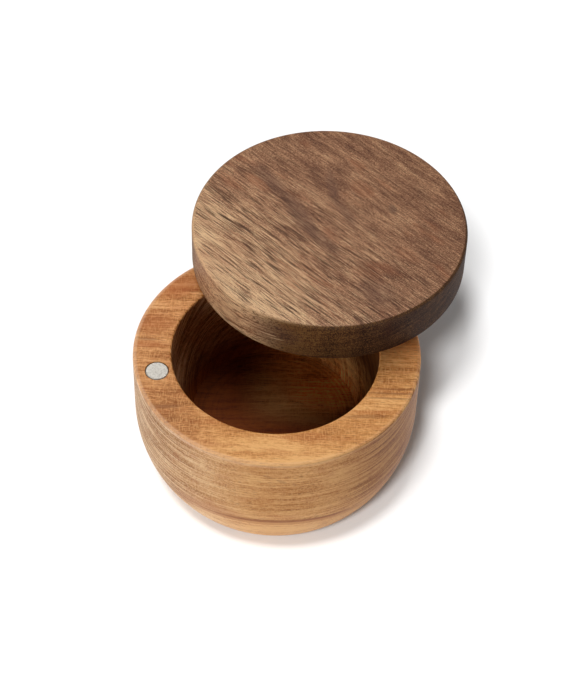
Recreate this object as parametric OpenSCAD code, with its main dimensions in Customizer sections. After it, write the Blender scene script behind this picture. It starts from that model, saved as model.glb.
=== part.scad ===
// Turned wooden salt box: a round bowl with a thick rim, and a flat lid that swings
// aside on an upright pin set in the rim. Two small magnets hold the lid shut.
// Millimetres. The origin is the centre of the resting face, +Z is up, the pivot
// lies along +X and the magnets along -X. The lid is drawn partly open.

/* [Body] */
// Diameter of the body at its upright upper wall
body_d = 102; // [96:1:112]
// Height of the body from the resting face to the rim
body_h = 57.5; // [52:0.5:66]
// Height of the upright part of the outer wall, down from the rim
upright_h = 24; // [18:0.5:28]
// Radius of the curve that brings the wall in towards the base
flank_r = 51; // [48:0.5:56]
// Radius of the corner between that curve and the resting face
foot_r = 8; // [4:0.5:12]
// Radius of the rim's outer edge
rim_edge_r = 1; // [0.4:0.1:2]

/* [Well] */
// Width of the rim between its outer wall and the well
rim_w = 14.2; // [13.8:0.1:18]
// Depth of the well
well_depth = 34.5; // [28:0.5:40]
// Height of the upright part of the well's wall, down from the rim
well_upright_h = 16; // [10:0.5:20]
// How far the well's wall draws in between its upright part and the flat floor
well_draw_in = 6.8; // [3:0.2:12]
// Radius of the well's mouth edge
mouth_edge_r = 0.8; // [0.3:0.1:1.5]
// How far the well's axis lies from the body's axis, away from the pivot
well_shift = 0.6; // [0:0.1:1.5]

/* [Lid] */
// How far the shut lid's edge is set back from the body's wall
lid_inset = 1; // [0:0.1:2]
// Thickness of the lid
lid_t = 18; // [16:0.5:22]
// Radius of the lid's top edge
lid_top_edge_r = 1.2; // [0.5:0.1:2.5]
// Radius of the lid's bottom edge
lid_bottom_edge_r = 3; // [1:0.1:5]
// How far the lid is swung from shut, clockwise seen from above
open_angle = 71; // [0:1:180]

/* [Pivot] */
// Distance from the body's outer wall to the pin's axis
pivot_inset = 9; // [7.5:0.1:9.4]
// Diameter of the pivot pin
pin_d = 4; // [3:0.1:4.5]
// Length of the pin inside the lid
pin_in_lid = 12; // [8:0.5:14]
// How far the pin reaches past the bush's lower end
pin_past_bush = 2; // [0.5:0.5:4]
// Chamfer at each end of the pin
pin_chamfer = 0.5; // [0.2:0.1:0.8]
// Wall thickness of the bush round the pin
bush_wall = 0.8; // [0.6:0.1:1]
// Length of the bush below the rim
bush_l = 18; // [10:0.5:22]
// Diameter of the bush's flange
flange_d = 8.4; // [7:0.2:9.2]
// Thickness of the bush's flange
flange_t = 0.4; // [0.3:0.05:0.8]

/* [Magnets] */
// Distance from the body's outer wall to the magnets' axis
magnet_inset = 7.8; // [6.5:0.1:8.2]
// Diameter of each magnet
magnet_d = 8; // [6:0.5:8.5]
// Thickness of each magnet
magnet_t = 3; // [2:0.5:5]
// Chamfer round each magnet's faces
magnet_chamfer = 0.25; // [0.1:0.05:0.5]

/* [Clearances] */
// Radial clearance of the turning pin in the bush
pin_play = 0.05; // [0.02:0.01:0.1]
// Running clearance between the lid and the bush's flange
flange_play = 0.05; // [0.02:0.01:0.1]
// Radial glue gap round the pin in the lid and the bush in the body
glue_gap = 0.02; // [0.01:0.01:0.1]
// Radial gap round each magnet in its pocket
pocket_gap = 0.2; // [0.05:0.05:0.3]
// How far each magnet lies below the face round it
magnet_sunk = 0.05; // [0:0.05:0.2]
// Free depth below the pin's lower end
pin_end_gap = 1; // [0.5:0.5:2]

/* [Hidden] */
$fn = 96;

body_r = body_d / 2;
well_r = body_r - rim_w;
lid_r = body_r - lid_inset;
pivot_at = body_r - pivot_inset;
magnet_at = body_r - magnet_inset;
pin_r = pin_d / 2;
magnet_r = magnet_d / 2;
bush_bore_r = pin_r + pin_play;
bush_r = bush_bore_r + bush_wall;
bush_hole_r = bush_r + glue_gap;
pin_hole_r = pin_r + glue_gap;
pocket_r = magnet_r + pocket_gap;
lid_z = body_h + flange_t + flange_play;
pocket_depth = magnet_t + magnet_sunk;
pin_in_body = bush_l + pin_past_bush;
pin_l = pin_in_body + lid_z - body_h + pin_in_lid;
pin_bottom_z = body_h - pin_in_body;

// The flank's curve is centred level with the bottom of the upright wall, and the
// foot's corner touches it from inside.
flank_x = body_r - flank_r;
flank_z = body_h - upright_h;
foot_rise = flank_z - foot_r;
foot_x = flank_x + sqrt(pow(flank_r - foot_r, 2) - pow(foot_rise, 2));
foot_turn = atan2(foot_rise, foot_x - flank_x);

// The well's lower wall is an arc that ends at the flat floor at a slight angle, as
// a round-nosed cutter leaves it.
well_drop = well_depth - well_upright_h;
well_curve_r = (pow(well_drop, 2) + pow(well_draw_in, 2)) / (2 * well_draw_in);
well_curve_turn = asin(well_drop / well_curve_r);
well_floor_z = body_h - well_depth;

// How far a cut runs past the face it opens in
cut_over = 1;
// Steps of a quarter-round edge, and of a long curve
edge_steps = 6;
curve_steps = 20;

// Points on an arc about centre c, from angle a0 to angle a1
function arc(c, r, a0, a1, steps) = [
    for (i = [0:steps])
        let (a = a0 + (a1 - a0) * i / steps)
        [c[0] + r * cos(a), c[1] + r * sin(a)]
];

// Carries what is drawn at the origin to the pivot or the magnets of the shut lid
module at_pivot(z) {
    translate([pivot_at, 0, z]) children();
}

module at_magnet(z) {
    translate([-magnet_at, 0, z]) children();
}

// Swings the shut lid and all that it holds about the pivot
module swung() {
    translate([pivot_at, 0, 0])
        rotate([0, 0, -open_angle])
            translate([-pivot_at, 0, 0])
                children();
}

// Outside of the body as a solid of revolution
module body_blank() {
    rotate_extrude()
        polygon(concat(
            [[0, 0]],
            arc([foot_x, foot_r], foot_r, -90, -foot_turn, edge_steps),
            arc([flank_x, flank_z], flank_r, -foot_turn * (1 - 1 / curve_steps), 0, curve_steps),
            arc([body_r - rim_edge_r, body_h - rim_edge_r], rim_edge_r, 0, 90, edge_steps),
            [[0, body_h]]
        ));
}

// The hollow of the well, with its rounded mouth edge flaring to the rim
module well_hollow() {
    mouth_r = well_r + mouth_edge_r;
    translate([-well_shift, 0, 0])
        rotate_extrude()
            polygon(concat(
                [[0, well_floor_z]],
                arc([well_r - well_curve_r, body_h - well_upright_h], well_curve_r,
                    -well_curve_turn, 0, curve_steps),
                arc([mouth_r, body_h - mouth_edge_r], mouth_edge_r, 180, 90, edge_steps),
                [[mouth_r, body_h + cut_over], [0, body_h + cut_over]]
            ));
}

module magnet_disc() {
    rotate_extrude()
        polygon([
            [0, 0],
            [magnet_r - magnet_chamfer, 0],
            [magnet_r, magnet_chamfer],
            [magnet_r, magnet_t - magnet_chamfer],
            [magnet_r - magnet_chamfer, magnet_t],
            [0, magnet_t]
        ]);
}

module body() {
    color("burlywood")
        difference() {
            body_blank();
            well_hollow();
            at_pivot(pin_bottom_z - pin_end_gap)
                cylinder(h = pin_in_body + pin_end_gap + cut_over, r = bush_hole_r);
            at_magnet(body_h - pocket_depth)
                cylinder(h = pocket_depth + cut_over, r = pocket_r);
        }
}

module lid() {
    color("peru")
        swung()
            difference() {
                translate([0, 0, lid_z])
                    rotate_extrude()
                        polygon(concat(
                            [[0, 0]],
                            arc([lid_r - lid_bottom_edge_r, lid_bottom_edge_r], lid_bottom_edge_r,
                                -90, 0, edge_steps),
                            arc([lid_r - lid_top_edge_r, lid_t - lid_top_edge_r], lid_top_edge_r,
                                0, 90, edge_steps),
                            [[0, lid_t]]
                        ));
                at_pivot(lid_z - cut_over)
                    cylinder(h = pin_in_lid + cut_over, r = pin_hole_r);
                at_magnet(lid_z - cut_over)
                    cylinder(h = pocket_depth + cut_over, r = pocket_r);
            }
}

module rim_magnet() {
    color("silver")
        at_magnet(body_h - pocket_depth)
            magnet_disc();
}

module lid_magnet() {
    color("silver")
        swung()
            at_magnet(lid_z + magnet_sunk)
                magnet_disc();
}

module pivot_pin() {
    color("lightgray")
        swung()
            at_pivot(pin_bottom_z)
                rotate_extrude()
                    polygon([
                        [0, 0],
                        [pin_r - pin_chamfer, 0],
                        [pin_r, pin_chamfer],
                        [pin_r, pin_l - pin_chamfer],
                        [pin_r - pin_chamfer, pin_l],
                        [0, pin_l]
                    ]);
}

module pivot_bush() {
    color("goldenrod")
        at_pivot(body_h)
            difference() {
                union() {
                    translate([0, 0, -bush_l]) cylinder(h = bush_l + flange_t, r = bush_r);
                    cylinder(h = flange_t, d = flange_d);
                }
                translate([0, 0, -bush_l - cut_over])
                    cylinder(h = bush_l + flange_t + 2 * cut_over, r = bush_bore_r);
            }
}

body();
lid();
rim_magnet();
lid_magnet();
pivot_pin();
pivot_bush();
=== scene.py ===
import math

import bmesh
import bpy
from mathutils import Matrix, Vector


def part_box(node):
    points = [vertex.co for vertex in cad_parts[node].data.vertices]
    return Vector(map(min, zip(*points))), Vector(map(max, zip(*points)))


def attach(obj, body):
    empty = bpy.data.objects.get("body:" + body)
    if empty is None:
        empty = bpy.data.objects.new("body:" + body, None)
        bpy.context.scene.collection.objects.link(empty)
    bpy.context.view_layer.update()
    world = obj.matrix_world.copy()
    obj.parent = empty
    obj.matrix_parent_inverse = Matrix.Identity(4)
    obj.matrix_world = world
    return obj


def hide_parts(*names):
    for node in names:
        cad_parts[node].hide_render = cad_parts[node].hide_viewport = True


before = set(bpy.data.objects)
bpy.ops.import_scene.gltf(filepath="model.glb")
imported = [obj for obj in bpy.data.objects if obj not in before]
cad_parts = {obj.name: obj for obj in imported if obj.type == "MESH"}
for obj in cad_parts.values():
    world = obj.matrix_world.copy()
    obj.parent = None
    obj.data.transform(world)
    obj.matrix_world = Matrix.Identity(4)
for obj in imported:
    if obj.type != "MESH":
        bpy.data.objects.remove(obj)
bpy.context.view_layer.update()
mm = 0.001
print("frame loaded:", ", ".join(sorted(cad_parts)))

# places that the frame gives
bodyLow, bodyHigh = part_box("body")
lidLow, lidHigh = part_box("lid")
magnetLow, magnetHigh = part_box("rim_magnet")
pinLow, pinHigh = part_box("pivot_pin")
lidMagnetLow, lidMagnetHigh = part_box("lid_magnet")
rimZ = bodyHigh.z
bodyRadius = (bodyHigh.x - bodyLow.x) / 2
lidRadius = (lidHigh.x - lidLow.x) / 2
lidCentre = (lidLow + lidHigh) / 2
pinCentre = (pinLow + pinHigh) / 2
magnetCentre = (magnetLow + magnetHigh) / 2
lidMagnetCentre = (lidMagnetLow + lidMagnetHigh) / 2
magnetRadius = (magnetHigh.x - magnetLow.x) / 2
pinRadius = (pinHigh.x - pinLow.x) / 2

# camera: the view of the photograph
viewpoint = {
    "azimuth": -14.8,       # degrees, 0 looks along +Y
    "elevation": 49.05,
    "roll": 2.11,
    "distance": 700 * mm,
    "aimRight": 5.87 * mm,  # the aimed point, to the right of the body's axis
    "aimHeight": 61.16 * mm,
    "lens": 103.67,         # mm, for a sensor of this length on the picture's long side
    "sensor": 36,
    "nearest": 0.01,        # metres from the camera at which its view starts and ends
    "farthest": 50,
}


def placeCamera():
    turn = math.radians(viewpoint["azimuth"])
    rise = math.radians(viewpoint["elevation"])
    right = Vector((math.cos(turn), math.sin(turn), 0))
    away = Vector((-math.sin(turn), math.cos(turn), 0))
    back = Vector((0, 0, math.sin(rise))) - away * math.cos(rise)
    up = back.cross(right)
    roll = math.radians(viewpoint["roll"])
    pictureRight = right * math.cos(roll) + up * math.sin(roll)
    pictureUp = up * math.cos(roll) - right * math.sin(roll)
    camera = bpy.data.objects.new("camera", bpy.data.cameras.new("camera"))
    bpy.context.scene.collection.objects.link(camera)
    turned = Matrix((pictureRight, pictureUp, back)).transposed().to_4x4()
    aim = right * viewpoint["aimRight"] + Vector((0, 0, viewpoint["aimHeight"]))
    camera.matrix_world = Matrix.Translation(aim + back * viewpoint["distance"]) @ turned
    camera.data.lens = viewpoint["lens"]
    camera.data.sensor_width = viewpoint["sensor"]
    camera.data.clip_start = viewpoint["nearest"]
    camera.data.clip_end = viewpoint["farthest"]
    bpy.context.scene.camera = camera
    return right, away


cameraRight, cameraAway = placeCamera()
print("camera placed")


# meshes
onAxis = 1e-7  # metres: a profile point nearer the axis than this is a single vertex


def arcPoints(centre, radius, start, end, steps):
    # points on an arc in the (radius, height) plane, angles in degrees
    angles = [math.radians(start + (end - start) * i / steps) for i in range(steps + 1)]
    return [(centre[0] + radius * math.cos(a), centre[1] + radius * math.sin(a)) for a in angles]


def linePoints(start, end, steps):
    # points along a straight line, without its first one
    return [
        (start[0] + (end[0] - start[0]) * i / steps, start[1] + (end[1] - start[1]) * i / steps)
        for i in range(1, steps + 1)
    ]


def turnProfile(bm, profile, centre, around):
    # turns a profile of (radius, height) points about the upright axis through centre
    rings = []
    for radius, height in profile:
        if radius < onAxis:
            rings.append([bm.verts.new((centre.x, centre.y, height))])
            continue
        ring = []
        for i in range(around):
            a = 2 * math.pi * i / around
            ring.append(bm.verts.new((
                centre.x + radius * math.cos(a), centre.y + radius * math.sin(a), height)))
        rings.append(ring)
    for low, high in zip(rings, rings[1:]):
        for i in range(around):
            j = (i + 1) % around
            corners = [low[i % len(low)], low[j % len(low)], high[j % len(high)], high[i % len(high)]]
            bm.faces.new(dict.fromkeys(corners))  # a triangle where one ring is a single vertex
    return rings


def turnHole(bm, centre, radius, mouthZ, endZ, shape):
    # a blind round hole with a broken edge, of which the mouth's ring is returned
    edge = shape["holeEdge"]
    inward = edge if endZ > mouthZ else -edge
    hole = [(radius + edge, mouthZ), (radius, mouthZ + inward), (radius, endZ), (0, endZ)]
    return turnProfile(bm, hole, centre, shape["holeAround"])[0]


def ringEdges(bm, ring):
    # the edges of a closed ring of vertices
    pairs = zip(ring, ring[1:] + ring[:1])
    return [bm.edges.get(pair) or bm.edges.new(pair) for pair in pairs]


def fillFlat(bm, rings):
    # a flat face between an outer ring and the rings of its holes
    edges = [edge for ring in rings for edge in ringEdges(bm, ring)]
    bmesh.ops.triangle_fill(bm, use_beauty=True, edges=edges)


def makePiece(name, bm, sharpAngle=35):
    bmesh.ops.recalc_face_normals(bm, faces=bm.faces)
    mesh = bpy.data.meshes.new(name)
    bm.to_mesh(mesh)
    bm.free()
    mesh.shade_smooth()
    mesh.set_sharp_from_angle(angle=math.radians(sharpAngle))
    piece = bpy.data.objects.new(name, mesh)
    bpy.context.scene.collection.objects.link(piece)
    return piece


bodyShape = {
    "around": 288,                # faces round the axis
    "uprightHeight": 24 * mm,     # the upright wall, down from the rim
    "flankRadius": 51 * mm,
    "footRadius": 8 * mm,
    "rimEdge": 1 * mm,
    "rimWidth": 14.2 * mm,
    "wellDepth": 34.5 * mm,
    "wellUpright": 16 * mm,
    "wellDrawIn": 6.8 * mm,
    "mouthEdge": 0.8 * mm,
    "wellShift": 0.6 * mm,        # the well's axis, away from the pivot
    "turningPitch": 1.9 * mm,     # spacing and depth of the cutter's faint rings
    "turningDepth": 0.02 * mm,
    "turningSlope": 1.3,          # how much closer the rings lie on the upright wall
    "turningMouth": 4 * mm,       # the rings fade in over this far below the mouth
    "turningCentre": 3 * mm,      # and fade out this near the centre
    "holeEdge": 0.12 * mm,        # broken edge of the small holes
    "holeAround": 64,
    "pocketGap": 0.2 * mm,
    "pinPlay": 0.05 * mm,
    "bushWall": 0.8 * mm,
    "bushGap": 0.02 * mm,
    "pinEndGap": 1 * mm,
    # divisions of each stretch of the profile
    "steps": {"base": 12, "foot": 16, "flank": 40, "upright": 16, "rimEdge": 10,
              "mouth": 8, "wellWall": 36, "wellCurve": 48, "floor": 72},
}


def bodyOutside():
    s, steps = bodyShape, bodyShape["steps"]
    flankZ = rimZ - s["uprightHeight"]
    flankX = bodyRadius - s["flankRadius"]
    rise = flankZ - s["footRadius"]
    footX = flankX + math.sqrt((s["flankRadius"] - s["footRadius"]) ** 2 - rise ** 2)
    footTurn = math.degrees(math.atan2(rise, footX - flankX))
    points = [(0, 0)] + linePoints((0, 0), (footX, 0), steps["base"])
    points += arcPoints((footX, s["footRadius"]), s["footRadius"], -90, -footTurn, steps["foot"])[1:]
    points += arcPoints((flankX, flankZ), s["flankRadius"], -footTurn, 0, steps["flank"])[1:]
    edge = (bodyRadius - s["rimEdge"], rimZ - s["rimEdge"])
    points += linePoints((bodyRadius, flankZ), (bodyRadius, edge[1]), steps["upright"])
    points += arcPoints(edge, s["rimEdge"], 0, 90, steps["rimEdge"])[1:]
    return points


def wellInside():
    s, steps = bodyShape, bodyShape["steps"]
    wellRadius = bodyRadius - s["rimWidth"]
    drop = s["wellDepth"] - s["wellUpright"]
    curve = (drop ** 2 + s["wellDrawIn"] ** 2) / (2 * s["wellDrawIn"])
    curveTurn = math.degrees(math.asin(drop / curve))
    curveZ = rimZ - s["wellUpright"]
    floorZ = rimZ - s["wellDepth"]
    floorRadius = wellRadius - s["wellDrawIn"]
    mouth = (wellRadius + s["mouthEdge"], rimZ - s["mouthEdge"])
    points = arcPoints(mouth, s["mouthEdge"], 90, 180, steps["mouth"])
    points += linePoints((wellRadius, mouth[1]), (wellRadius, curveZ), steps["wellWall"])
    points += arcPoints((wellRadius - curve, curveZ), curve, 0, -curveTurn, steps["wellCurve"])[1:]
    points += linePoints((floorRadius, floorZ), (0, floorZ), steps["floor"])
    # the cutter's faint rings, deepest on the floor and the curve above it
    cut = []
    for radius, height in points:
        depth = min(1, max(0, (mouth[1] - height) / s["turningMouth"])) * min(1, radius / s["turningCentre"])
        wave = math.sin(2 * math.pi * (radius - s["turningSlope"] * height) / s["turningPitch"])
        cut.append((radius, height - depth * s["turningDepth"] * (1 + wave)))
    return cut


def makeBody():
    s = bodyShape
    bm = bmesh.new()
    outside = turnProfile(bm, bodyOutside(), Vector((0, 0, 0)), s["around"])
    inside = turnProfile(bm, wellInside(), Vector((-s["wellShift"], 0, 0)), s["around"])
    pocket = turnHole(bm, magnetCentre, magnetRadius + s["pocketGap"], rimZ, magnetLow.z, s)
    bushRadius = pinRadius + s["pinPlay"] + s["bushWall"] + s["bushGap"]
    bushHole = turnHole(bm, pinCentre, bushRadius, rimZ, pinLow.z - s["pinEndGap"], s)
    fillFlat(bm, [outside[-1], inside[0], pocket, bushHole])
    return makePiece("turned_body", bm)


lidShape = {
    "around": 288,
    "topEdge": 1.2 * mm,
    "bottomEdge": 3 * mm,
    "pinGap": 0.02 * mm,
    "pocketGap": 0.2 * mm,
    "holeEdge": 0.12 * mm,
    "holeAround": 64,
    "steps": {"bottomEdge": 16, "side": 14, "topEdge": 10, "top": 24},
}


def lidOutside():
    s, steps = lidShape, lidShape["steps"]
    low, high = lidLow.z, lidHigh.z
    bottom, top = s["bottomEdge"], s["topEdge"]
    points = arcPoints((lidRadius - bottom, low + bottom), bottom, -90, 0, steps["bottomEdge"])
    points += linePoints(points[-1], (lidRadius, high - top), steps["side"])
    points += arcPoints((lidRadius - top, high - top), top, 0, 90, steps["topEdge"])[1:]
    points += linePoints(points[-1], (0, high), steps["top"])
    return points


def makeLid():
    s = lidShape
    bm = bmesh.new()
    outside = turnProfile(bm, lidOutside(), lidCentre, s["around"])
    pocket = turnHole(bm, lidMagnetCentre, magnetRadius + s["pocketGap"], lidLow.z, lidMagnetHigh.z, s)
    pinHole = turnHole(bm, pinCentre, pinRadius + s["pinGap"], lidLow.z, pinHigh.z, s)
    fillFlat(bm, [outside[0], pocket, pinHole])
    return makePiece("turned_lid", bm)


body = makeBody()
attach(body, "body")
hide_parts("body")
lid = makeLid()
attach(lid, "lid")
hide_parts("lid")
print("turned pieces made:", len(body.data.polygons), "and", len(lid.data.polygons), "faces")


# materials
class Wire:
    # a socket that takes part in sums, each of which adds its Math node
    def __init__(self, graph, socket):
        self.graph = graph
        self.socket = socket

    def __add__(self, other):
        return self.graph.math("ADD", self, other)

    def __radd__(self, other):
        return self.graph.math("ADD", other, self)

    def __sub__(self, other):
        return self.graph.math("SUBTRACT", self, other)

    def __rsub__(self, other):
        return self.graph.math("SUBTRACT", other, self)

    def __mul__(self, other):
        return self.graph.math("MULTIPLY", self, other)

    def __rmul__(self, other):
        return self.graph.math("MULTIPLY", other, self)

    def __truediv__(self, other):
        return self.graph.math("DIVIDE", self, other)

    def __rtruediv__(self, other):
        return self.graph.math("DIVIDE", other, self)

    def __pow__(self, other):
        return self.graph.math("POWER", self, other)

    def __abs__(self):
        return self.graph.math("ABSOLUTE", self)


class Graph:
    # the nodes of one material
    def __init__(self, name):
        self.material = bpy.data.materials.new(name)
        self.material.use_nodes = True
        self.tree = self.material.node_tree
        self.tree.nodes.clear()

    def node(self, kind, settings=None, sockets=None, out=0):
        made = self.tree.nodes.new("ShaderNode" + kind)
        for name, value in (settings or {}).items():
            if name == "stops":
                ramp = made.color_ramp.elements
                while len(ramp) < len(value):
                    ramp.new(0.5)
                for stop, (position, colour) in zip(ramp, value):
                    stop.position = position
                    stop.color = (*colour, 1)
            else:
                setattr(made, name, value)
        for key, value in (sockets or {}).items():
            if isinstance(value, Wire):
                self.tree.links.new(value.socket, made.inputs[key])
            else:
                made.inputs[key].default_value = value
        return Wire(self, made.outputs[out]) if made.outputs else None

    def math(self, operation, *values):
        return self.node("Math", {"operation": operation}, dict(enumerate(values)))

    def vector(self, x, y, z):
        return self.node("CombineXYZ", None, {0: x, 1: y, 2: z})

    def noise(self, place, detail=2, roughness=0.5):
        sockets = {"Vector": place, "Scale": 1, "Detail": detail, "Roughness": roughness}
        return self.node("TexNoise", None, sockets)

    def cloud(self, place, size, detail=2, roughness=0.5):
        # noise whose lumps have the given size along each axis of place
        return self.noise(self.vector(*(p / s for p, s in zip(place, size))), detail, roughness)

    def step(self, value, low, high, bottom=0, top=1):
        # rises smoothly from bottom to top as value goes from low to high
        sockets = {"Value": value, "From Min": low, "From Max": high, "To Min": bottom, "To Max": top}
        return self.node("MapRange", {"interpolation_type": "SMOOTHSTEP"}, sockets)

    def mix(self, factor, first, second, blend="MIX"):
        sockets = {0: factor, 6: asColour(first), 7: asColour(second)}
        return self.node("Mix", {"data_type": "RGBA", "blend_type": blend}, sockets, 2)


def asColour(value):
    return value if isinstance(value, Wire) else (*value, 1)


def fromPicture(red, green, blue):
    # a colour as a picture shows it, 0 to 255, turned into the linear values that a shader takes
    return tuple((c / 255) ** 2.2 for c in (red, green, blue))


def finishMaterial(graph, sockets):
    shader = graph.node("BsdfPrincipled", None, sockets)
    graph.node("OutputMaterial", None, {"Surface": shader})
    return graph.material


def dress(piece, material):
    piece.data.materials.clear()
    piece.data.materials.append(material)


def grainSpace(graph, centre, turn, lean):
    # places in millimetres: along the grain, across it, and up
    place = graph.node("TexCoord", None, None, "Object")
    rotation = (math.radians(lean), 0, math.radians(turn))
    turned = graph.node("Mapping", {"vector_type": "TEXTURE"}, {
        "Vector": place, "Location": centre, "Rotation": rotation, "Scale": (mm, mm, mm)})
    return [graph.node("SeparateXYZ", None, {0: turned}, axis) for axis in range(3)]


def alongFibres(graph, turn):
    # 1 or -1 where the surface lies square across the fibres, 0 where it runs along them
    normal = graph.node("TexCoord", None, None, "Normal")
    along = (math.cos(math.radians(turn)), math.sin(math.radians(turn)), 0)
    return graph.node("VectorMath", {"operation": "DOT_PRODUCT"}, {0: normal, 1: along}, 1)


def streaks(graph, place, long, thick, shift=0.0, detail=2.0, roughness=0.5):
    # noise drawn out along the grain, shifted so that two of one size differ
    u, v, w = place
    return graph.noise(graph.vector(u / long + shift, v / thick + shift, w / thick), detail, roughness)


def spot(graph, a, b, centre, size, turn=0.0):
    # a soft oval patch in the plane of a and b, 1 at its middle and 0 outside
    c, s = math.cos(math.radians(turn)), math.sin(math.radians(turn))
    da, db = a - centre[0], b - centre[1]
    far = ((da * c + db * s) / size[0]) ** 2 + ((db * c - da * s) / size[1]) ** 2
    return graph.step(far, 0, 2, 1, 0)


def addFeatures(graph, look, colour, a, b, texture, features, where=1.0):
    # marks of the wood: kind of colour, centre, half size, turn, strength
    for kind, centre, size, turn, strength in features:
        patch = spot(graph, a, b, centre, size, turn) * texture * strength * where
        colour = graph.mix(patch, colour, look[kind])
    return colour


def layOut(graph, look, centre):
    # the wood's own places: along the grain, across it, up, then its layer and the distance from the pith
    u, v, w = grainSpace(graph, centre, look["grainTurn"], look["lean"])
    wander = graph.cloud((u, v, w), look["wanderSize"], 1) - 0.5
    ripple = graph.cloud((u, v, w), look["rippleSize"], 1) - 0.5
    layer = v + look["wander"] * wander + look["ripple"] * ripple
    across, up = look["pith"]
    ring = ((layer - across) ** 2 + (w - up) ** 2) ** 0.5 + look["ringWander"] * wander
    return u, v, w, layer, ring


def woodGrains(graph, look, place, layered, rings):
    # every noise of the wood, by name: bands follow the rings, streaks the layers, clouds neither
    grains = {name: graph.cloud(rings, *values) for name, values in look["bands"].items()}
    grains.update({name: streaks(graph, layered, *values) for name, values in look["streaks"].items()})
    grains.update({name: graph.cloud(place, *values) for name, values in look["clouds"].items()})
    return grains


def sumOver(amounts, areas):
    # a value that differs from place to place: the amount for "all", plus what each area adds
    total = amounts.get("all", 0)
    for area, amount in amounts.items():
        if area != "all":
            total = total + amount * areas[area]
    return total


def toneColour(graph, look, grains, areas):
    # the wood's tone from its areas and its grains, turned into a colour by the ramp
    tone = sumOver(look["tones"], areas)
    for name, amounts in look["contrast"].items():
        tone = tone + sumOver(amounts, areas) * (grains[name] - 0.5)
    stops = [(position, look[name]) for position, name in look["ramp"]]
    return graph.node("ValToRGB", {"stops": stops}, {0: tone})


def addHeart(graph, look, colour, grains):
    # reddish heartwood
    redness = graph.step(grains["heart"], *look["heartLimits"])
    return graph.mix(redness * look["heartStrength"], colour, look["red"])


def openPores(graph, look, grains, place):
    # short dark lines along the grain, dots on the end grain, closer together in some places
    crowd = graph.cloud(place, look["crowdSize"], 1)
    return graph.step(grains["pore"] + look["crowding"] * (crowd - 0.5), *look["poreLimits"])


def finishWood(graph, look, colour, grains, pores, dull):
    # fibres stand up a little and pores sink in
    height = grains["fibre"] * look["fibreHeight"] + grains["hair"] * look["hairHeight"] - pores
    normal = graph.node("Bump", None, {
        "Strength": look["bump"], "Distance": look["bumpDepth"], "Height": height})
    roughness = look["roughness"] + look["fibreRoughness"] * (grains["fibre"] - 0.5)
    return finishMaterial(graph, {
        "Base Color": colour, "Roughness": roughness + look["dullness"] * dull, "Normal": normal,
        "Specular IOR Level": look["specular"]})


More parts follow.
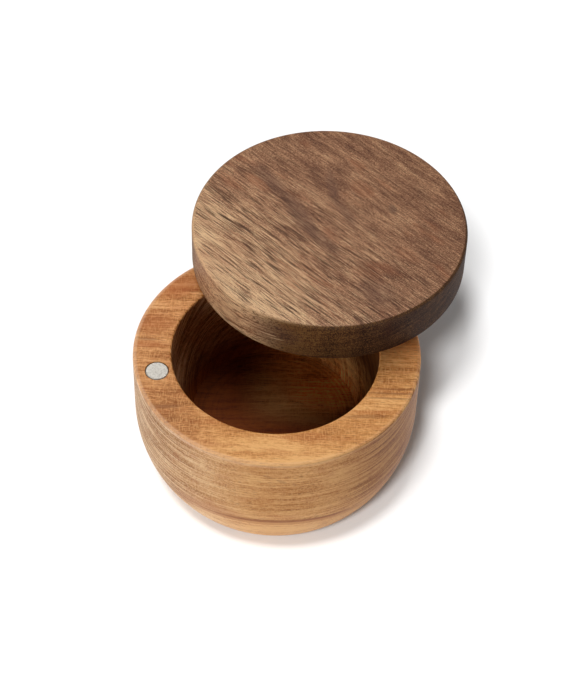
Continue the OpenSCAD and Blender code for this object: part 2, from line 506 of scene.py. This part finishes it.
bodyWood = {
    "grainTurn": -14.8,        # degrees from +X to the fibres, seen from above
    "lean": 0,                 # degrees that the growth layers lean
    "pith": (-35, 47),         # across and up from the rim's centre, mm
    "wanderSize": (60, 40, 40),  # mm along, across and up: slow and quick bends of the layers
    "wander": 4,               # mm that the layers stray in them
    "rippleSize": (16, 12, 12),
    "ripple": 0.8,
    "ringWander": 1.5,
    # bands: size across the rings, along and across the grain in mm, detail, roughness
    "bands": {
        "broad": ((4, 80, 40), 2, 0.5),
        "narrow": ((1.1, 45, 30), 2, 0.6),
        "thin": ((0.5, 24, 20), 1, 0.6),
    },
    # streaks: length and thickness in mm, shift, detail, roughness
    "streaks": {
        "fibre": (6, 0.6, 5.3, 3, 0.65),
        "hair": (2, 0.34, 9.7, 2, 0.6),
        "heart": (34, 3, 2.2, 2),
        "pore": (3, 0.45, 7.1, 1),
    },
    # clouds: size along the grain, across it and up in mm, detail
    "clouds": {"blotch": ((20, 12, 12), 2)},
    # the tone in each area, and how strongly each grain shows there
    # the lighter tone at the back right is painted light, where the lid's shadow falls on the rim
    "tones": {"all": 0.55, "low": 0.13, "front": 0.11, "left": -0.14, "backRight": 0.25},
    "contrast": {
        "broad": {"all": 0.5},
        "narrow": {"all": 0.8, "wall": -0.4, "ends": 1.5},
        "thin": {"all": 0.6, "wall": 0.2, "ends": 1.5},
        "fibre": {"all": 1.0, "wall": -0.4},
        "hair": {"all": 1.0, "wall": -0.2},
        "blotch": {"all": 0.6},
    },
    "ramp": [(0.15, "dark"), (0.5, "middle"), (0.85, "light")],
    "dark": fromPicture(146, 84, 32),
    "middle": fromPicture(201, 135, 73),
    "light": fromPicture(236, 178, 112),
    # the colour of the painted highlight on the rim's rounded edge
    "wearAndHighlight": fromPicture(240, 198, 160),
    "red": fromPicture(170, 92, 44),
    "brown": fromPicture(126, 74, 38),
    "pore": fromPicture(118, 66, 30),
    "heartLimits": (0.52, 0.68),
    "heartStrength": 0.35,
    "crowdSize": (22, 4, 22),  # mm along the grain, across the rings and up
    "crowding": 0.35,
    "poreLimits": (0.62, 0.72),
    "poreStrength": 0.4,
    "raySize": (0.55, 2.6, 1.2),  # mm along the grain, across the layers and up
    "rayLimits": (0.46, 0.66),
    "rayStrength": 0.36,
    # tints that multiply the colour: on the rim, then on the outer wall and its two ends, where the right
    # end's darker tint is partly painted shade and the left end's paler tint partly painted light
    "rimBackRightPaintedLight": (1.3, 1.02, 0.9),
    "rimLeft": (0.95, 0.95, 1.12),
    "outside": (0.76, 0.78, 0.83),
    "outsideRightPaintedShade": (0.70, 0.575, 0.40),
    "outsideLeftPaintedLight": (1.14, 1.48, 2.4),
    # and painted shade in the well, darker and redder: on its upper wall, then on its floor and the curve
    # above it, where one patch is painted lighter
    "wellLeftPaintedShade": (0.84, 0.98, 1.5),
    "wellRightPaintedShade": (0.17, 0.11, 0.06),
    "floorPaintedShade": (0.26, 0.11, 0.02),
    "floorPaintedLight": (2.15, 2.4, 2.4),
    "cutterRing": (0.62, 0.56, 0.5),
    "cutterRingSize": (0.9, 60, 60),
    "cutterRingStrength": 0.6,
    "floorLineStrength": 0.25,
    "bump": 0.5,
    "bumpDepth": 0.05 * mm,
    "fibreHeight": 0.4,
    "hairHeight": 0.3,
    "roughness": 0.52,
    "fibreRoughness": 0.2,
    "dullness": 0.2,           # how much rougher the well is
    "specular": 0.2,
    "markSolid": 0.35,         # how solid a mark is, and how far the fibres break it up
    "markFibre": 1.3,
    "wallSlant": 0.35,         # how far the wall's marks climb with their place across the grain
    # marks seen on the rim, along and across the grain
    "rimMarks": [
        ("red", (-37, 30), (9, 5), 20, 0.5),
        ("red", (-45, 12), (7, 5), 0, 0.4),
        ("red", (-46, 1), (7, 1.6), 0, 0.5),
        ("brown", (-46, 3.6), (4, 0.6), 0, 0.5),
        ("brown", (-38, -27), (6, 0.8), 4, 0.6),
        ("brown", (32, -28), (8, 0.8), 3, 0.45),
        ("brown", (42, -15.2), (8, 0.4), 0, 0.5),
        ("brown", (41, -17.2), (8, 0.45), 0, 0.6),
        ("brown", (40, -19.4), (8, 0.4), 0, 0.5),
    ],
    # marks seen on the front of the outer wall, along the grain and down
    "wallMarks": [
        ("red", (-22, -49), (12, 4), 0, 0.4),
        ("brown", (4, -50.6), (24, 0.8), 0, 0.7),
        ("red", (6, -51.6), (26, 1.6), 0, 0.45),
        ("brown", (-1.3, -24.3), (1.8, 0.6), -25, 0.35),
        ("brown", (3.5, -26.8), (1.8, 0.6), -25, 0.3),
    ],
}


def makeBodyWood():
    look = bodyWood
    graph = Graph("body_wood")
    centre = (0, 0, rimZ)
    u, v, w, layer, ring = layOut(graph, look, centre)
    x, y, z = grainSpace(graph, centre, 0, 0)
    grains = woodGrains(graph, look, (u, v, w), (u, layer, w), (ring, u, v))
    # areas from 0 to 1, with their limits in mm along the grain, across it and up
    areas = {
        "wall": graph.step(w, -0.5, -2),
        "ends": graph.step(abs(alongFibres(graph, look["grainTurn"])), 0.3, 0.85),
        "low": graph.step(w, -26, -40),
        "front": graph.step(v, -36, -46),
        "left": graph.step(u, -16, -44),
        "backRight": graph.step(u, 26, 42) * graph.step(v, -10, 6),
    }
    colour = toneColour(graph, look, grains, areas)
    colour = addHeart(graph, look, colour, grains)
    pores = openPores(graph, look, grains, (u, ring, w))
    colour = graph.mix(pores * look["poreStrength"], colour, look["pore"])
    # the rim is painted lighter and warmer at the back right, painted light where the lid's shadow falls,
    # and is cooler on the left
    rim = 1 - areas["wall"]
    colour = graph.mix(areas["backRight"] * rim, colour, look["rimBackRightPaintedLight"], "MULTIPLY")
    colour = graph.mix(graph.step(u, -12, -36) * rim, colour, look["rimLeft"], "MULTIPLY")
    # rays: fine short marks across the grain
    rays = graph.step(graph.cloud((u, layer, w), look["raySize"], 2, 0.6), *look["rayLimits"])
    colour = graph.mix(rays * look["rayStrength"], colour, look["light"])
    texture = look["markSolid"] + look["markFibre"] * grains["fibre"]
    colour = addFeatures(graph, look, colour, u, layer, texture, look["rimMarks"], graph.step(w, -4, -1))
    frontWall = graph.step(v, -30, -38) * graph.step(w, -1, -4)
    climb = w + look["wallSlant"] * v
    colour = addFeatures(graph, look, colour, u, climb, texture, look["wallMarks"], frontWall)
    # the outer wall is tinted darker and a little greyer than the rim, and the rim's rounded edge is painted
    # paler, a painted highlight
    radius = bodyRadius / mm
    wellRadius = radius - bodyShape["rimWidth"] / mm
    fromAxis = (x ** 2 + y ** 2) ** 0.5
    outer = graph.step(fromAxis, radius - 0.3, radius - 0.02)
    flank = graph.step(z, -1, -2.5) * graph.step(fromAxis, wellRadius + 1.2, wellRadius + 3.2)
    outer = graph.math("MAXIMUM", graph.math("MAXIMUM", outer, flank), graph.step(z, -44, -48))
    colour = graph.mix(outer, colour, look["outside"], "MULTIPLY")
    # the outer wall's change from left to right: partly the wood's own colour, partly painted light on the
    # left and painted shade on the right
    colour = graph.mix(outer * graph.step(u, 10, 46), colour, look["outsideRightPaintedShade"], "MULTIPLY")
    colour = graph.mix(outer * graph.step(u, -2, -46), colour, look["outsideLeftPaintedLight"], "MULTIPLY")
    # painted highlight along the rim's rounded edge, strongest on the left
    edge = graph.step(fromAxis, radius - 1.8, radius - 0.8) * graph.step(z, -2.2, -0.8)
    colour = graph.mix(edge * graph.step(u, 30, -30, 0.12, 0.32), colour, look["wearAndHighlight"])
    # painted shade: the well is painted darker and redder, most on its right wall, and painted light makes
    # its floor paler towards the front right
    fromWell = ((x + bodyShape["wellShift"] / mm) ** 2 + y ** 2) ** 0.5
    inside = graph.step(fromWell, wellRadius + 0.9, wellRadius + 0.2) * graph.step(z, -0.2, -1.4)
    inside = inside * graph.step(z, -44, -40)
    # painted light: the lighter patch on the well's floor
    lit = graph.step(u, -16, 22) * graph.step(v, -8, 11) - 0.45 * graph.step(u, 22, 31)
    lit = lit - 0.35 * graph.step(v, 14, 26) * graph.step(u, 4, 18)
    # painted shade on the well's upper wall, darkest on the right
    upper = graph.mix(graph.step(u, -12, 32), look["wellLeftPaintedShade"], look["wellRightPaintedShade"])
    lower = graph.mix(lit, look["floorPaintedShade"], look["floorPaintedLight"])
    colour = graph.mix(inside, colour, graph.mix(graph.step(z, -21, -33), upper, lower), "MULTIPLY")
    # rings left by the cutter, and the line where it met the floor
    ringPlace = (fromWell - bodyShape["turningSlope"] * z, u, v)
    turned = graph.cloud(ringPlace, look["cutterRingSize"], 2, 0.6)
    rings = inside * graph.step(fromWell, 14, 28) * graph.step(turned, 0.46, 0.6)
    colour = graph.mix(rings * look["cutterRingStrength"], colour, look["cutterRing"], "MULTIPLY")
    floorRadius = wellRadius - bodyShape["wellDrawIn"] / mm
    line = graph.step(abs(fromWell - floorRadius), 0.5, 0.1) * graph.step(z, -30, -33)
    line = line * graph.step(u, -12, 12)
    colour = graph.mix(line * look["floorLineStrength"], colour, look["middle"])
    return finishWood(graph, look, colour, grains, pores, inside)


lidWood = {
    "grainTurn": -57,
    "lean": 12,
    "pith": (120, -60),
    "wanderSize": (50, 26, 26),
    "wander": 3,
    "rippleSize": (18, 8, 8),
    "ripple": 0.3,
    "ringWander": 0,
    # bands: size across the rings, along the grain and up in mm, detail, roughness
    "bands": {
        "broad": ((7, 40, 40), 2, 0.5),
        "narrow": ((1.6, 20, 30), 2, 0.6),
    },
    "streaks": {
        "fibre": (10, 0.36, 5.3, 2, 0.55),
        "hair": (5, 0.22, 9.7, 1, 0.5),
        "pore": (8, 0.27, 7.1, 0),
    },
    # sheet stands for the nearly flat layers, which show as lines along the side
    "clouds": {
        "blotch": ((14, 8, 8), 2),
        "heart": ((20, 8, 8), 2),
        "grit": ((0.5, 0.42, 0.42), 1, 0.6),
        "sheet": ((14, 14, 0.7), 2, 0.6),
    },
    "tones": {"all": 0.45, "pale": 0.42, "right": -0.08, "back": -0.07, "left": -0.06},
    "contrast": {
        "broad": {"all": 0.4},
        "narrow": {"all": 0.55},
        "sheet": {"side": 1.6, "sideLeft": 1.4},
        "fibre": {"all": 0.5, "front": 0.4, "pale": 0.2, "ends": 2, "side": -0.3},
        "hair": {"all": 0.7, "front": 0.4, "ends": 1.2},
        "blotch": {"all": 0.45},
        "grit": {"all": 1.1},
    },
    "ramp": [(0, "dark"), (0.36, "middle"), (0.58, "light"), (1, "bright")],
    "dark": fromPicture(80, 50, 37),
    "middle": fromPicture(135, 95, 71),
    "light": fromPicture(172, 129, 96),
    "bright": fromPicture(216, 178, 136),
    # the colour of the painted highlight on the top edge
    "tan": fromPicture(212, 170, 128),
    "red": fromPicture(152, 92, 62),
    "purple": fromPicture(98, 70, 58),
    "knot": fromPicture(88, 66, 58),
    "pore": fromPicture(66, 42, 30),
    "heartLimits": (0.56, 0.72),
    "heartStrength": 0.3,
    "crowdSize": (16, 5, 22),
    "crowding": 0.3,
    "poreLimits": (0.55, 0.61),
    "poreStrength": {"all": 0.4, "front": 0.34},
    # tints that multiply the colour on the side, where it cuts across the fibres
    "across": (0.26, 0.19, 0.105),
    "straightAcross": (0.82, 0.84, 1.05),
    "edgeHighlightStrength": 0.04,      # of the painted highlight on the top edge, and how much more where the wood is pale on the left
    "edgeHighlightPale": 0.4,
    "bump": 0.6,
    "bumpDepth": 0.06 * mm,
    "fibreHeight": 0.4,
    "hairHeight": 0.3,
    "roughness": 0.5,
    "fibreRoughness": 0.2,
    "dullness": 0.2,           # how much rougher the end grain is
    "specular": 0.15,
    "markSolid": 0.35,
    "markFibre": 1.3,
    "sideMarkSolid": 0.4,
    "sideMarkGrit": 1.2,
    # marks seen on the top, along and across the grain from its centre
    "marks": [
        ("purple", (-31, 1), (9, 3.2), -14, 0.5),
        ("purple", (-11, -4), (11, 3.0), -18, 0.55),
        ("purple", (4, -7), (9, 2.4), -6, 0.45),
        ("purple", (-12, 13.5), (9, 1.8), -38, 0.45),
        ("purple", (1, 7.5), (7, 1.8), -20, 0.4),
        ("purple", (34, -12), (7, 5), 0, 0.4),
        ("red", (-3.5, 21), (5, 3), 0, 0.3),
        ("red", (30, 8), (5, 2.5), 0, 0.25),
        ("red", (-33.5, -3.5), (6, 2), 0, 0.35),
        ("red", (-41, -10), (6, 2), 0, 0.35),
        ("knot", (10.9, 21.3), (2.2, 1.2), -30, 0.55),
        ("pore", (-29, -24), (4, 0.5), 2, 0.9),
        ("pore", (-12, -29), (4, 0.45), -3, 0.9),
        ("pore", (0, -29), (4, 0.5), 3, 0.8),
        ("pore", (-20, -23), (5, 0.5), 0, 0.8),
    ],
    # marks seen on the front of the side, along the grain and down: two scratches and three patches
    "sideMarks": [
        ("bright", (15, -9.6), (3.2, 0.3), 3, 0.8),
        ("bright", (18, -10.6), (2.6, 0.25), 6, 0.6),
        ("red", (4, -9), (10, 6), 0, 0.22),
        ("red", (-16, -8), (12, 8), 0, 0.3),
        ("knot", (17, -8), (8, 6), 0, 0.3),
    ],
}


def makeLidWood():
    look = lidWood
    graph = Graph("lid_wood")
    centre = (lidCentre.x, lidCentre.y, lidHigh.z)
    u, v, w, layer, ring = layOut(graph, look, centre)
    x, y, z = grainSpace(graph, centre, 0, 0)
    grains = woodGrains(graph, look, (u, v, w), (u, layer, w), (ring, u, w))
    along = alongFibres(graph, look["grainTurn"])
    side = graph.step(z, -0.6, -2)
    areas = {
        "side": side,
        "sideLeft": side * graph.step(u, 30, 10),
        "ends": graph.step(abs(along), 0.35, 0.7),
        "front": graph.step(v, 14, -16),
        "pale": graph.step(v + 0.2 * u, -6, -46),
        "right": graph.step(u, 8, 42),
        "back": graph.step(v, 0, 30),
        "left": graph.step(u, -8, -34),
    }
    colour = toneColour(graph, look, grains, areas)
    colour = addHeart(graph, look, colour, grains)
    texture = look["markSolid"] + look["markFibre"] * grains["fibre"]
    colour = addFeatures(graph, look, colour, u, layer, texture, look["marks"])
    pores = openPores(graph, look, grains, (u, ring, w))
    colour = graph.mix(pores * sumOver(look["poreStrength"], areas), colour, look["pore"])
    # end grain on the side is darker, and more on the end towards the front right than on the other
    endGrain = graph.step(abs(along) + 0.3 * along, 0.1, 0.59)
    colour = graph.mix(endGrain, colour, look["across"], "MULTIPLY")
    colour = graph.mix(graph.step(abs(along), 0.7, 0.95), colour, look["straightAcross"], "MULTIPLY")
    # the top edge is painted paler, a painted highlight, most on the pale left front
    radius = lidRadius / mm
    edge = graph.step((x ** 2 + y ** 2) ** 0.5, radius - 1.4, radius - 0.4) * graph.step(z, -1.6, -0.6)
    wearAndHighlight = look["edgeHighlightStrength"] + look["edgeHighlightPale"] * areas["pale"] * graph.step(u, 30, 0)
    colour = graph.mix(edge * wearAndHighlight, colour, look["tan"])
    texture = graph.step(v, -25, -30) * (look["sideMarkSolid"] + look["sideMarkGrit"] * grains["grit"])
    colour = addFeatures(graph, look, colour, u, z, texture, look["sideMarks"])
    return finishWood(graph, look, colour, grains, pores, endGrain)


# pitch is the spacing of the turned lines in mm, 0 for none
metals = {
    "nickel": {"colour": (0.46, 0.435, 0.39), "tint": (0.34, 0.315, 0.28),
               "metallic": 0.6, "roughness": 0.5, "pitch": 0},
    "steel": {"colour": (0.56, 0.56, 0.57), "tint": (0.38, 0.38, 0.39),
              "metallic": 1.0, "roughness": 0.34, "pitch": 0.35},
    "brass": {"colour": (0.76, 0.55, 0.24), "tint": (0.50, 0.33, 0.12),
              "metallic": 1.0, "roughness": 0.36, "pitch": 0.3},
}
# marks on every metal: sizes in mm, and what they add to the roughness
metalWear = {
    "cloudSize": (0.8, 0.8, 0.8),
    "scratchWidth": 0.16,
    "wornLimits": (0.42, 0.7),
    "cloudRoughness": 0.15,
    "wornRoughness": 0.1,
    "bump": 0.4,
    "bumpDepth": 0.01 * mm,
}


def makeMetal(name, centre):
    look, wear = metals[name], metalWear
    graph = Graph(name)
    x, y, z = grainSpace(graph, centre, 0, 0)
    cloud = graph.cloud((x, y, z), wear["cloudSize"], 3, 0.65)
    scratch = graph.noise(graph.vector(x / 3 + y / 4, (y - x) / wear["scratchWidth"], z / 2), 2, 0.6)
    wearAndHighlight = graph.step(cloud + 0.6 * (scratch - 0.5), *wear["wornLimits"])
    height = 0.5 * cloud + 0.5 * scratch
    if look["pitch"]:
        half = look["pitch"] / 2
        height = height + graph.noise(graph.vector(z / half, ((x ** 2 + y ** 2) ** 0.5) / half, 0.0), 1)
    normal = graph.node("Bump", None, {
        "Strength": wear["bump"], "Distance": wear["bumpDepth"], "Height": height})
    roughness = look["roughness"] + wear["cloudRoughness"] * (cloud - 0.5) + wear["wornRoughness"] * wearAndHighlight
    return finishMaterial(graph, {
        "Base Color": graph.mix(wearAndHighlight, look["colour"], look["tint"]), "Metallic": look["metallic"],
        "Roughness": roughness, "Normal": normal})


dress(body, makeBodyWood())
dress(lid, makeLidWood())
dress(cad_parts["rim_magnet"], makeMetal("nickel", magnetCentre))
dress(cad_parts["lid_magnet"], makeMetal("nickel", lidMagnetCentre))
dress(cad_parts["pivot_pin"], makeMetal("steel", pinCentre))
dress(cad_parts["pivot_bush"], makeMetal("brass", pinCentre))
print("materials made")

# stage and light
studio = {
    "floorColour": (0.82, 0.82, 0.82),
    "floorRoughness": 0.9,
    "floorSize": 160,       # metres, enough to fill the picture from about 10 degrees up
    "floorDrop": 0.2 * mm,  # keeps the floor clear of the resting face
    "surroundings": 0.02,
}
# each lamp on the floor: tilt in the camera's frame, softness in degrees, level
floorLamps = {
    "floor_lamp": ((-0.16, -0.28, 1), 10, 0.62),
    "floor_fill_lamp": ((-0.21, -0.76, 1), 9, 0.64),
    "floor_sky_lamp": ((0, -0.2, 1), 130, 0.24),
}
# each lamp: camera-frame azimuth (0 right, 90 away), elevation, distance, size, level
softboxes = {
    "back_left_softbox": (135, 52, 1.0, 0.7, 0.55),
    "overhead_softbox": (90, 72, 1.0, 0.7, 0.5),
    "low_left_softbox": (-128, 13, 1.0, 0.55, 0.5),
    "low_right_softbox": (0, 20, 1.0, 0.7, 0.1),
}


def makeFloor():
    bm = bmesh.new()
    bmesh.ops.create_grid(bm, x_segments=1, y_segments=1, size=studio["floorSize"] / 2)
    floor = makePiece("floor", bm)
    floor.location.z = -studio["floorDrop"]
    graph = Graph("floor_paper")
    dress(floor, finishMaterial(graph, {
        "Base Color": asColour(studio["floorColour"]), "Roughness": studio["floorRoughness"],
        "Specular IOR Level": 0.0}))
    return floor


floor = makeFloor()


def inCameraFrame(right, away, up):
    return cameraRight * right + cameraAway * away + Vector((0, 0, up))


def addLamp(name, kind, place, target, energy, receivers):
    # a lamp that looks at the target and lights only the receivers
    data = bpy.data.lights.new(name, kind)
    lamp = bpy.data.objects.new(name, data)
    bpy.context.scene.collection.objects.link(lamp)
    lamp.location = place
    lamp.rotation_euler = (place - target).to_track_quat("Z", "Y").to_euler()
    data.energy = energy
    lit = bpy.data.collections.new(name + "_lights")
    for piece in receivers:
        lit.objects.link(piece)
    lamp.light_linking.receiver_collection = lit
    return lamp


objectPieces = [o for o in bpy.context.scene.objects if o.type == "MESH" and o is not floor]
target = Vector((0, 0, rimZ))
for name, (azimuth, elevation, distance, size, level) in softboxes.items():
    turn, rise = math.radians(azimuth), math.radians(elevation)
    level *= math.pi ** 2 * distance ** 2
    out = distance * math.cos(rise)
    place = inCameraFrame(out * math.cos(turn), out * math.sin(turn), distance * math.sin(rise))
    lamp = addLamp(name, "AREA", place + target, target, level, objectPieces)
    lamp.data.shape = "SQUARE"
    lamp.data.size = size
for name, (tilt, softness, level) in floorLamps.items():
    lamp = addLamp(name, "SUN", inCameraFrame(*tilt), Vector((0, 0, 0)), level * math.pi, [floor])
    lamp.data.angle = math.radians(softness)

world = bpy.data.worlds.new("studio")
bpy.context.scene.world = world
world.use_nodes = True
world.node_tree.nodes["Background"].inputs["Color"].default_value = (1, 1, 1, 1)
world.node_tree.nodes["Background"].inputs["Strength"].default_value = studio["surroundings"]
bpy.context.scene.view_settings.view_transform = "Standard"
print("floor and lamps placed")
